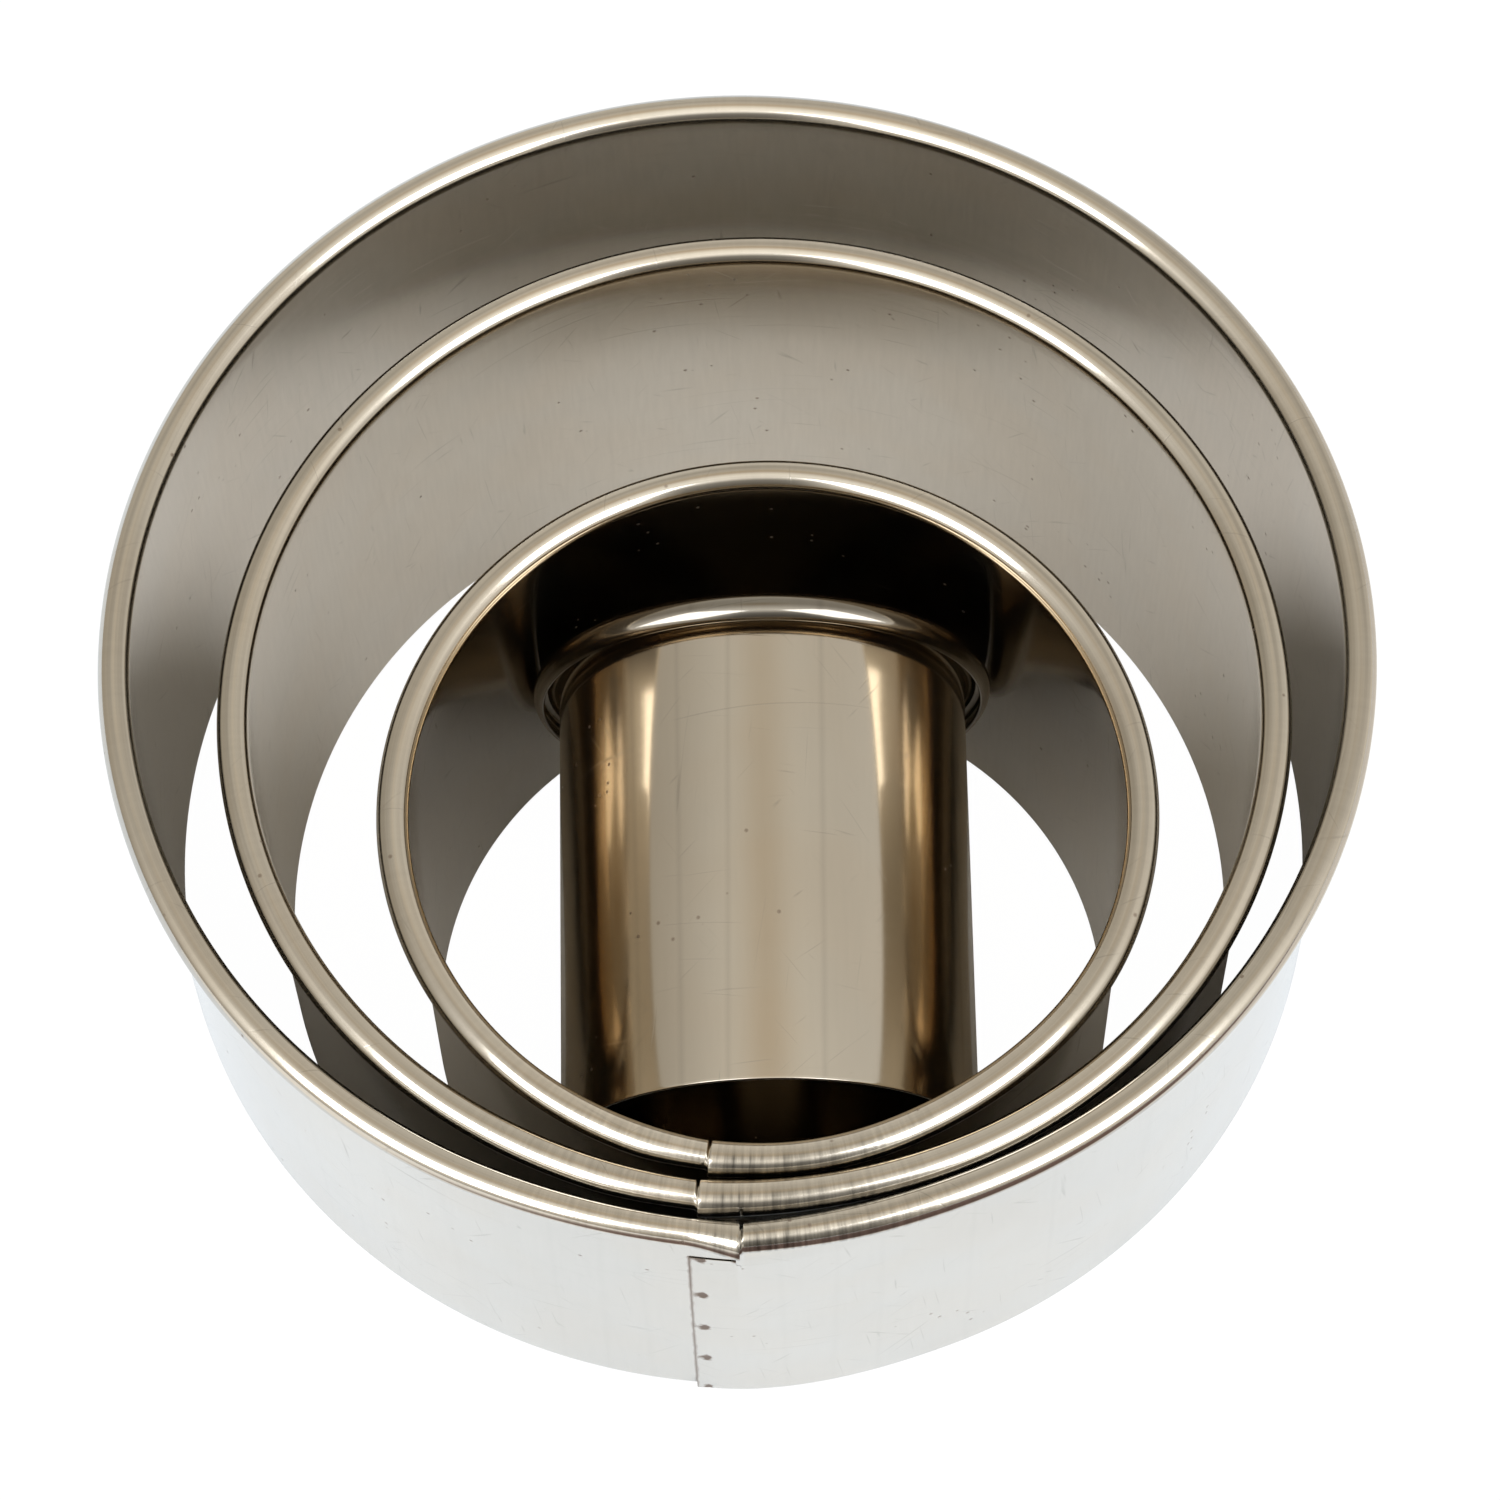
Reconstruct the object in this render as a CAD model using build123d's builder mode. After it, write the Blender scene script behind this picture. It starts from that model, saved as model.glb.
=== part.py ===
"""A nest of four plain round biscuit cutters.

Each cutter is one strip of thin stainless steel rolled into a ring. The top edge is curled outward into a
hollow bead with an open free edge. The two ends of the strip overlap in a short seam: one end's bead is
tucked inside the other's, its wall passes outside as a tongue, and a row of spot welds holds the two
layers together. Three cutters stand inside one another, pushed to the front, and the smallest lies on its
side in the middle. The origin is on the table, on the axis of the large cutter. +Z is up and -Y is the
front, where the seams are.
"""

from build123d import *
from math import asin, cos, degrees, hypot, radians, sin
import os

os.makedirs("parts", exist_ok=True)

# Sizes that all four cutters share
height = 31.75  # from the cutting edge to the top of the bead
strip_thickness = 0.3
bead_diameter = 2.0  # outside diameter of the rolled edge
curl_angle = 250  # degrees of roll, from the wall round to the free edge
outer_bends = 5  # equal bends that form the outside of the roll
inner_bends = 4  # equal bends that form its inside, which is smaller

# Widths at the cutting edge. The small cutter's follows from the smallest one, which lies inside it.
mini_diameter = 26.4
medium_step = 18.5  # how much wider the medium cutter is than the small one
large_step = 13.0  # how much wider the large cutter is than the medium one

# The seam, where the strip's two ends overlap
lap_length = 3.1
layer_gap = 0.05  # space left between the two layers, which only the welds bridge
tuck_length = 0.8  # how far one bead reaches inside the other
tongue_drop = 7.75  # from the top of the bead down to the top of the outer layer, which is cut away above
joggle_angle = 20  # degrees of ring over which the outer layer steps outward
joggle_steps = 2
swell_share = 0.35  # share of the step that the receiving bead gives by swelling

# Spot welds in the seam
weld_count = 5
weld_width = 0.9
weld_inset = 0.75  # from the tongue's end to the row of welds
weld_margin = 0.6  # from the tongue's top and bottom edges to the outer welds

# How the cutters lie. Angles are in degrees from +X, and each seam's is where the seam faces.
nest_gap = 0.1  # between a bead and the wall that it is pushed up to
medium_push_angle = 282.8  # the way the medium cutter is pushed inside the large one
small_push_angle = 275.2  # the way the small cutter is pushed inside the medium one
large_seam_angle = 268.9
medium_seam_angle = 262.8
small_seam_angle = 260.0

# The smallest cutter lies on its side across the middle of the small one
mini_gap = 0.1  # between its bead and the small cutter's wall
mini_sideways = -0.1  # from the small cutter's axis to the middle of its bead
mini_heading_angle = 0.5  # that its axis turns from +Y towards +X
mini_seam_angle = 310  # of its seam round its own axis, below and to the left

# Sizes that follow from those above
bead_radius = bead_diameter / 2
curl_height = height - bead_radius
layer_shift = strip_thickness + layer_gap
tongue_height = height - tongue_drop
mini_inside = mini_diameter / 2 - strip_thickness

# The lying cutter rests on its cutting edge and on its bead, which stands out further, so it tips forward
bead_overhang = bead_diameter - strip_thickness
mini_tilt = degrees(asin(bead_overhang / curl_height))
bead_back = curl_height * cos(radians(mini_tilt)) / 2

# The small cutter is just wide enough to hold it, and each larger cutter is wider by its step
bead_side = mini_inside + bead_radius + abs(mini_sideways)
bead_reach = hypot(bead_side, bead_back + bead_side * sin(radians(abs(mini_heading_angle))))
small_inside = bead_reach + bead_radius + mini_gap
medium_inside = small_inside + medium_step / 2
large_inside = medium_inside + large_step / 2


def pushed(place, direction, distance):
    """A place moved a distance in a direction."""
    return (place[0] + distance * cos(radians(direction)), place[1] + distance * sin(radians(direction)))


medium_place = pushed((0, 0), medium_push_angle, large_inside - medium_inside - bead_diameter - nest_gap)
small_place = pushed(medium_place, small_push_angle, medium_inside - small_inside - bead_diameter - nest_gap)


def radial_plane(angle):
    """The upright plane through the axis at an angle in degrees: its x runs outward and its y runs up."""
    outward = Vector(1, 0, 0).rotate(Axis.Z, angle)
    return Plane(origin=(0, 0, 0), x_dir=outward, z_dir=outward.rotate(Axis.Z, -90))


def curl_points(centre, radius, bends):
    """One side of the roll, from the wall over the top and round to the free edge."""
    turns = [180 - curl_angle * bend / bends for bend in range(bends + 1)]
    return [pushed(centre, turn, radius) for turn in turns]


def strip_section(angle, inside, curl_radius):
    """The strip's section at an angle: a plain wall at an inside radius, its top rolled outward and under."""
    centre = (inside + curl_radius, curl_height)
    outer_curl = curl_points(centre, curl_radius, outer_bends)
    inner_curl = curl_points(centre, curl_radius - strip_thickness, inner_bends)
    with BuildSketch(radial_plane(angle)) as section:
        with BuildLine():
            Polyline((inside, 0), *outer_curl, *reversed(inner_curl), (inside + strip_thickness, 0), close=True)
        make_face()
    return section.sketch


def turned_length(start, angle, inside, curl_radius):
    """Adds a length of strip of one section, turned through an angle."""
    revolve(strip_section(start, inside, curl_radius), axis=Axis.Z, revolution_arc=angle)


def eased_length(start, end, inside, curl_radius):
    """Adds a length of strip whose inside and curl change smoothly, each given as a (first, last) pair."""
    sections = []
    for step in range(joggle_steps + 1):
        share = step / joggle_steps
        ease = share * share * (3 - 2 * share)
        sections.append(
            strip_section(
                start + (end - start) * share,
                inside[0] + (inside[1] - inside[0]) * ease,
                curl_radius[0] + (curl_radius[1] - curl_radius[0]) * ease,
            )
        )
    loft(sections)


def rolled_cutter(inside):
    """One standing cutter of an inside radius on the Z axis, with the mouth of its seam on +X.

    From the mouth the strip runs anticlockwise right round, steps outward by one layer, tucks its bead into
    the mouth and ends as a tongue outside its own beginning. The receiving bead swells towards the mouth by
    its share of that step, and the tucked bead is pinched by the rest.
    """
    outside = inside + strip_thickness
    mouth_curl = bead_radius + swell_share * layer_shift
    tucked_curl = mouth_curl - layer_shift
    lap_angle = degrees(lap_length / outside)
    tuck_angle = degrees(tuck_length / outside)
    weld_angle = lap_angle - degrees(weld_inset / outside)
    with BuildPart() as cutter:
        # The receiving end
        eased_length(0, lap_angle, (inside, inside), (mouth_curl, bead_radius))
        # The plain ring
        turned_length(lap_angle, 360 - joggle_angle - lap_angle, inside, bead_radius)
        # The tucked end, which steps outward by one layer
        eased_length(360 - joggle_angle, 360, (inside, inside + layer_shift), (bead_radius, tucked_curl))
        turned_length(0, tuck_angle, inside + layer_shift, tucked_curl)
        # The tongue, which has no bead
        with BuildSketch(radial_plane(0)):
            with Locations((inside + layer_shift, 0)):
                Rectangle(strip_thickness, tongue_height, align=(Align.MIN, Align.MIN))
        revolve(axis=Axis.Z, revolution_arc=lap_angle)
        # The weld nuggets that join the two layers
        weld_pitch = (tongue_height - 2 * weld_margin) / (weld_count - 1)
        weld_heights = [weld_margin + weld_pitch * n for n in range(weld_count)]
        weld_axis = radial_plane(weld_angle)
        weld_face = Plane(origin=weld_axis.origin, x_dir=-weld_axis.z_dir, z_dir=weld_axis.x_dir)
        with BuildSketch(weld_face.offset(inside + strip_thickness / 2)):
            with Locations(*[(0, z) for z in weld_heights]):
                Rectangle(weld_width, weld_width)
        extrude(amount=layer_shift)
    return cutter.part


# The large cutter's strip runs the other way round from its seam
with BuildPart() as large_cutter:
    handed = mirror(rolled_cutter(large_inside), about=Plane.XZ, mode=Mode.PRIVATE)
    add(handed, rotation=(0, 0, large_seam_angle))

with BuildPart() as medium_cutter:
    with Locations(medium_place):
        add(rolled_cutter(medium_inside), rotation=(0, 0, medium_seam_angle))

with BuildPart() as small_cutter:
    with Locations(small_place):
        add(rolled_cutter(small_inside), rotation=(0, 0, small_seam_angle))

# The lying cutter stands on its cutting edge in a frame that is then laid down
mini_axis = Vector(0, 1, 0).rotate(Axis.X, mini_tilt).rotate(Axis.Z, -mini_heading_angle)
bead_middle = Vector(small_place[0] + mini_sideways, small_place[1] + bead_back)
mini_start = bead_middle - Vector(mini_axis.X, mini_axis.Y) * curl_height
mini_frame = Plane(
    origin=mini_start + Vector(0, 0, mini_diameter / 2 * cos(radians(mini_tilt))),
    x_dir=Vector(0, 0, 1).cross(mini_axis),
    z_dir=mini_axis,
)
with BuildPart() as mini_cutter:
    with Locations(mini_frame):
        add(rolled_cutter(mini_inside), rotation=(0, 0, mini_seam_angle))

large_cutter.part.label = "large_cutter"
medium_cutter.part.label = "medium_cutter"
small_cutter.part.label = "small_cutter"
mini_cutter.part.label = "mini_cutter"

export_step(large_cutter.part, "parts/large_cutter.step")
export_step(medium_cutter.part, "parts/medium_cutter.step")
export_step(small_cutter.part, "parts/small_cutter.step")
export_step(mini_cutter.part, "parts/mini_cutter.step")
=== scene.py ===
"""The finished look of a nest of four round biscuit cutters, each rolled from one strip of thin bright steel.

Every cutter is one closed surface: the strip's middle surface worked out on a grid of two parameters, the
distance along the strip and the distance up across it, given its thickness with small rounded edges.
Lengths are in metres, +Z is up and -Y is the front, where the seams are.
"""

from math import asin, cos, hypot, pi, radians, sin

import bpy
import numpy as np
from mathutils import Matrix, Vector


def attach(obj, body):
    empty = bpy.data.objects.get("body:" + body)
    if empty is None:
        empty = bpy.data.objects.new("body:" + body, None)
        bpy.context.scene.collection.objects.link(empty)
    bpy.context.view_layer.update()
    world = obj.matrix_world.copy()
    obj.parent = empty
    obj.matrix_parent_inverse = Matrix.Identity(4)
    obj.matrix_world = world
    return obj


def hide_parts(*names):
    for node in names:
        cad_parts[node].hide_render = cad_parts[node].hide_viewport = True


bl_info = {
    "name": "Biscuit cutter nest",
    "version": (1, 0, 0),
    "blender": (4, 5, 0),
    "location": "3D View > Sidebar > Cutters",
    "description": "Makes a nest of round biscuit cutters rolled from bright steel strip",
    "category": "Add Mesh",
}

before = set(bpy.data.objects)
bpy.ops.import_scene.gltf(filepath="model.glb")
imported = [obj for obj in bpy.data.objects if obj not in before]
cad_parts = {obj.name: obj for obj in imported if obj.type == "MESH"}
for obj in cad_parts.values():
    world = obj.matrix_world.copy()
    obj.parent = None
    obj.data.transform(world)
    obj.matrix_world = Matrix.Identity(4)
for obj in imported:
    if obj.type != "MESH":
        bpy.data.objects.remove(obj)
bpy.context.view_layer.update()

STANDING = ("large", "medium", "small")


class CutterSizes(bpy.types.PropertyGroup):
    """The sizes of the strip, its rolled edge, its seam and the four rings."""

    height: bpy.props.FloatProperty(
        name="Height", description="From the cutting edge to the top of the bead", default=0.03175,
        unit="LENGTH",
    )
    strip_thickness: bpy.props.FloatProperty(
        name="Strip thickness", description="Thickness of the steel strip", default=0.0003, unit="LENGTH"
    )
    bead_diameter: bpy.props.FloatProperty(
        name="Bead diameter", description="Outside diameter of the rolled edge", default=0.002, unit="LENGTH"
    )
    curl_angle: bpy.props.FloatProperty(
        name="Curl angle", description="Roll from the wall round to the free edge", default=radians(250),
        subtype="ANGLE",
    )
    edge_round: bpy.props.FloatProperty(
        name="Edge rounding", description="Radius worn onto the strip's edges", default=0.00007, unit="LENGTH"
    )
    mini_diameter: bpy.props.FloatProperty(
        name="Mini diameter", description="Outside of the smallest ring", default=0.0264, unit="LENGTH"
    )
    medium_step: bpy.props.FloatProperty(
        name="Medium step", description="How much wider the medium ring is than the small one",
        default=0.0185, unit="LENGTH",
    )
    large_step: bpy.props.FloatProperty(
        name="Large step", description="How much wider the large ring is than the medium one", default=0.013,
        unit="LENGTH",
    )
    lap_length: bpy.props.FloatProperty(
        name="Lap length", description="How far the strip's two ends overlap", default=0.0031, unit="LENGTH"
    )
    layer_gap: bpy.props.FloatProperty(
        name="Layer gap", description="Space between the two layers of the lap", default=0.00005,
        unit="LENGTH",
    )
    tuck_length: bpy.props.FloatProperty(
        name="Tuck length", description="How far one bead reaches inside the other", default=0.0003,
        unit="LENGTH",
    )
    tongue_drop: bpy.props.FloatProperty(
        name="Tongue drop", description="From the top of the bead to the top of the outer layer",
        default=0.007, unit="LENGTH",
    )
    joggle_angle: bpy.props.FloatProperty(
        name="Joggle angle", description="Stretch of ring over which the outer layer steps outward",
        default=radians(20), subtype="ANGLE",
    )
    weld_count: bpy.props.IntProperty(name="Welds", description="Spot welds in each seam", default=5)
    weld_width: bpy.props.FloatProperty(
        name="Weld width", description="Width of a spot weld's mark", default=0.0009, unit="LENGTH"
    )
    weld_inset: bpy.props.FloatProperty(
        name="Weld inset", description="From the tongue's end to the row of welds", default=0.00075,
        unit="LENGTH",
    )
    weld_margin: bpy.props.FloatProperty(
        name="Weld margin", description="From the tongue's top and bottom to the outer welds",
        default=0.00015, unit="LENGTH",
    )


class NestPlaces(bpy.types.PropertyGroup):
    """How the cutters lie in one another. Angles run from +X."""

    nest_gap: bpy.props.FloatProperty(
        name="Nest gap", description="Between a bead and the wall it is pushed up to", default=0.0001,
        unit="LENGTH",
    )
    push_angles: bpy.props.FloatVectorProperty(
        name="Push angles", description="The way the medium ring is pushed, and the way the small one is",
        default=(radians(282.8), radians(275.2)), size=2, unit="ROTATION",
    )
    seam_angles: bpy.props.FloatVectorProperty(
        name="Seam angles", description="Where the seams face, from the large ring to the lying one",
        default=(radians(268.9), radians(262.8), radians(260), radians(310)), size=4, unit="ROTATION",
    )
    mini_gap: bpy.props.FloatProperty(
        name="Mini gap", description="Between the lying ring's bead and the small ring", default=0.0001,
        unit="LENGTH",
    )
    mini_sideways: bpy.props.FloatProperty(
        name="Mini sideways", description="From the small ring's axis to the lying bead's middle",
        default=-0.0001, unit="LENGTH",
    )
    mini_heading_angle: bpy.props.FloatProperty(
        name="Mini heading", description="Turn of the lying ring's axis from +Y towards +X",
        default=radians(0.5), subtype="ANGLE",
    )


class SeamShapes(bpy.types.PropertyGroup):
    """How each ring's lap is bent. Every set of four runs from the large ring to the lying one."""

    flare: bpy.props.FloatVectorProperty(
        name="Flare", description="How far the lapped ends stand out of the circle at the mouth",
        default=(0.00062, 0.0003, 0.0001, 0.0), size=4, unit="LENGTH",
    )
    flare_reach: bpy.props.FloatVectorProperty(
        name="Flare reach", description="Stretch of ring to each side over which the flare fades",
        default=(radians(24), radians(28), radians(20), radians(20)), size=4, unit="ROTATION",
    )
    mouth_swell: bpy.props.FloatVectorProperty(
        name="Mouth swell", description="Growth of the receiving bead's radius at its mouth",
        default=(0.000165, 0.000145, 0.00011, 0.0001), size=4, unit="LENGTH",
    )
    swell_reach: bpy.props.FloatVectorProperty(
        name="Swell reach", description="Length over which the swelling fades",
        default=(0.0033, 0.013, 0.005, 0.004), size=4, unit="LENGTH",
    )
    pinch: bpy.props.FloatVectorProperty(
        name="Pinch", description="How much smaller the tucked bead's radius is just before the mouth",
        default=(0.00008, 0.00009, 0.00012, 0.0001), size=4, unit="LENGTH",
    )
    neck: bpy.props.FloatVectorProperty(
        name="Neck", description="How much smaller the receiving bead's radius is behind its swelling",
        default=(0.00013, 0.0, 0.0, 0.0), size=4, unit="LENGTH",
    )
    dent: bpy.props.FloatVectorProperty(
        name="Dent", description="How far the ring is pressed inward beside the seam",
        default=(0.0, 0.0, 0.0004, 0.0), size=4, unit="LENGTH",
    )
    dent_angle: bpy.props.FloatProperty(
        name="Dent angle", description="From the mouth to the middle of the dent", default=radians(42),
        subtype="ANGLE",
    )
    dent_reach: bpy.props.FloatProperty(
        name="Dent reach", description="Stretch to each side over which the dent fades", default=radians(34),
        subtype="ANGLE",
    )
    dive: bpy.props.FloatProperty(
        name="Dive", description="Length over which the tucked bead dips into the mouth", default=0.0002,
        unit="LENGTH",
    )


class SteelLook(bpy.types.PropertyGroup):
    """Colours of the steel and of what use has left on it, and its painted shade and painted reflection."""

    steel_colour: bpy.props.FloatVectorProperty(
        name="Steel", description="Colour of the clean strip", default=(0.61, 0.58, 0.53), size=3,
        subtype="COLOR",
    )
    cool_colour: bpy.props.FloatVectorProperty(
        name="Cool steel", description="Colour that the strip turns to in places",
        default=(0.605, 0.585, 0.545), size=3, subtype="COLOR",
    )
    # Painted reflection: a warm, darker tint of the two inner cutters, only where other steel mirrors them
    warm_reflection_colour: bpy.props.FloatVectorProperty(
        name="Warmth",
        description="Colour that multiplies the two inner cutters' steel where other steel mirrors it",
        default=(0.85, 0.75, 0.61), size=3, subtype="COLOR",
    )
    # Also the colour of the lap's dirt with painted shade in its gap
    stain_and_shade_colour: bpy.props.FloatVectorProperty(
        name="Stain", description="Colour of the burnt weld marks and specks", default=(0.14, 0.085, 0.055),
        size=3, subtype="COLOR",
    )
    # Painted shade: the lying ring's inside is painted darker, for the shade in its hollow
    bore_shade: bpy.props.FloatProperty(
        name="Bore tone", description="How bright the lying ring's inside is beside the rest", default=0.55,
        subtype="FACTOR",
    )


class StageLook(bpy.types.PropertyGroup):
    """The floor, the lights and the room."""

    floor_colour: bpy.props.FloatVectorProperty(
        name="Floor", description="Colour of the floor", default=(0.86, 0.86, 0.86), size=3, subtype="COLOR"
    )
    floor_glow: bpy.props.FloatVectorProperty(
        name="Floor glow",
        description="Even share of the mirrored floor outside, behind the medium ring and behind the small "
        "one, and the shade inside it", default=(0.6, 0.5, 0.28, 0.15), size=4,
    )
    glow_colour: bpy.props.FloatVectorProperty(
        name="Glow", description="Colour of the floor's even glow", default=(0.92, 1.03, 1.16),
        size=3, max=2.0,
    )
    key_power: bpy.props.FloatProperty(
        name="Softbox power",
        description="Power of the right softbox in watts; the left one's follows its width", default=1.7,
    )
    room_colour: bpy.props.FloatVectorProperty(
        name="Room", description="Colour of the room around the stage", default=(0.46, 0.40, 0.31), size=3,
        subtype="COLOR",
    )
    dusk_colour: bpy.props.FloatVectorProperty(
        name="Dark front", description="Colour of the dark things in front", default=(0.15, 0.107, 0.10),
        size=3, subtype="COLOR",
    )
    box_angles: bpy.props.FloatVectorProperty(
        name="Softbox angles", description="Where the right and the left softbox stand, from +X",
        default=(radians(-44), radians(227)), size=2, unit="ROTATION",
    )
    box_widths: bpy.props.FloatVectorProperty(
        name="Softbox widths", description="Width of the right and the left softbox", default=(0.36, 0.43),
        size=2, unit="LENGTH",
    )
    box_rise: bpy.props.FloatProperty(
        name="Softbox height", description="How high the softboxes stand, as an angle", default=radians(42),
        subtype="ANGLE",
    )


def eased(share):
    """A smooth step: 0 below 0, 1 above 1, and three times the square less twice the cube between them."""
    part = np.clip(share, 0, 1)
    return part * part * (3 - 2 * part)


def nest_rings(sizes, places):
    """The inside radius of each ring and the place of each, as two dicts.

    The lying ring rests on its cutting edge and its bead, across the middle of the small one. The small ring
    is just wide enough to hold it, and each larger ring is wider by its step and pushed up to the next wall.
    """
    bead_radius = sizes.bead_diameter / 2
    curl_height = sizes.height - bead_radius
    inside = {"mini": sizes.mini_diameter / 2 - sizes.strip_thickness}
    tilt = asin((sizes.bead_diameter - sizes.strip_thickness) / curl_height)
    bead_back = curl_height * cos(tilt) / 2
    bead_side = inside["mini"] + bead_radius + abs(places.mini_sideways)
    bead_reach = hypot(bead_side, bead_back + bead_side * sin(abs(places.mini_heading_angle)))
    inside["small"] = bead_reach + bead_radius + places.mini_gap
    inside["medium"] = inside["small"] + sizes.medium_step / 2
    inside["large"] = inside["medium"] + sizes.large_step / 2

    def pushed(place, angle, outer, inner):
        room = inside[outer] - inside[inner] - sizes.bead_diameter - places.nest_gap
        return (place[0] + room * cos(angle), place[1] + room * sin(angle))

    medium = pushed((0, 0), places.push_angles[0], "large", "medium")
    small = pushed(medium, places.push_angles[1], "medium", "small")
    heading = places.mini_heading_angle
    axis = Vector((cos(tilt) * sin(heading), cos(tilt) * cos(heading), sin(tilt)))
    start = Vector((small[0] + places.mini_sideways, small[1] + bead_back, 0)) - axis * curl_height
    start.z = sizes.mini_diameter / 2 * cos(tilt)
    sideways = Vector((0, 0, 1)).cross(axis).normalized()
    lying = Matrix((sideways, axis.cross(sideways), axis)).transposed().to_4x4()
    lying.translation = start

    at = {ring: Matrix.Translation((*spot, 0)) for ring, spot in zip(STANDING, ((0, 0), medium, small))}
    at["mini"] = lying
    turns = [Matrix.Rotation(angle, 4, "Z") for angle in places.seam_angles]
    return inside, {ring: place @ turn for (ring, place), turn in zip(at.items(), turns)}


def edge_lines(rounding):
    """Distances from an edge at which the rounding needs a grid line: rounding times one less a cosine."""
    return rounding * (1 - np.cos(np.radians([0, 30, 60, 90])))


def tidy_lines(lines, least):
    """The lines in order, without those that lie closer than least to the next, the last one kept."""
    ordered = np.sort(lines)
    return ordered[np.append(np.diff(ordered) > least, True)]


def weld_rows(sizes):
    """Heights of the spot welds, evenly spaced up the tongue between its margins."""
    top = sizes.height - sizes.tongue_drop - sizes.weld_margin
    return np.linspace(sizes.weld_margin, top, sizes.weld_count)


def roll_length(sizes):
    """Length of the roll across the strip: the curl angle times the radius of the middle surface."""
    return sizes.curl_angle * (sizes.bead_diameter - sizes.strip_thickness) / 2


# The strip's grid, in metres
RING_STEPS, LAP_STEPS, SHOULDER_STEPS, ROLL_STEPS = 400, 12, 5, 42
DIP_LINES, DIP_LENGTH = 16, 0.00045  # lines over this length before the mouth, where the tucked bead dips in
WELD_LINES = np.array([-0.6, -0.35, -0.12, 0.12, 0.35, 0.6])  # beside each weld's middle, in weld widths
LEAST_STEP = 0.00001
NEARLY = 1e-9  # what two equal places of the grid may differ by


def strip_lines(sizes, inside):
    """Grid lines along the strip, in radians from the mouth, and across it, in metres from the cutting edge.

    With them, where the tucked bead ends along the strip and where the tongue ends across it.
    """
    middle = inside + sizes.strip_thickness / 2
    rim = edge_lines(sizes.edge_round)
    notch = 2 * pi + sizes.tuck_length / middle
    tip = 2 * pi + sizes.lap_length / middle
    steps = np.linspace(0, 2 * pi, RING_STEPS + 1)[1:-1]
    lap_steps = np.linspace(0, sizes.lap_length / middle, LAP_STEPS + 1)[1:-1]
    dip_steps = 2 * pi + np.linspace(-DIP_LENGTH, 0, DIP_LINES) / middle
    ends = [rim / middle, notch - rim / middle, tip - rim / middle]
    along = np.concatenate([*ends, lap_steps, steps, dip_steps, 2 * pi + lap_steps])

    tongue = sizes.height - sizes.tongue_drop
    curl_start = sizes.height - sizes.bead_diameter / 2
    roll = roll_length(sizes)
    weld_lines = (weld_rows(sizes)[:, None] + sizes.weld_width * WELD_LINES).ravel()
    shoulder = np.linspace(tongue, curl_start, SHOULDER_STEPS + 1)
    rolled = curl_start + np.linspace(0, roll, ROLL_STEPS + 1)
    across = np.concatenate([rim, weld_lines, tongue - rim, shoulder, rolled, curl_start + roll - rim])
    return tidy_lines(along, LEAST_STEP / middle), tidy_lines(across[across >= 0], LEAST_STEP), notch, tongue


# Bends of the lap that all rings share. Lengths are in metres.
SHOULDER_TOP = 0.0005  # how far below the roll the outer layer is back in line with its bead
EARLY_SHARE = 0.1  # of the tucked bead's step outward that comes over the joggle, and not at its dip
DIP_MARGIN = 0.00005  # from the end of the dip to the mouth
PRESSED_SHARE = 0.93  # of the tongue's thickness that is pressed away at its top edge
PRESSED_LENGTH = 0.009  # down from that edge to where the tongue is as thick as the strip
NECK_LENGTH = 0.018  # behind the lap, over which the neck widens again
PINCH_SHARE = 0.6  # of the joggle, over which the tucked bead is pinched
FOOT_SHARE = 0.25  # of the flare and the dent that the cutting edge has
DIMPLE_SHARE = 0.12  # of the strip's thickness that a weld's dimple is deep


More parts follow.
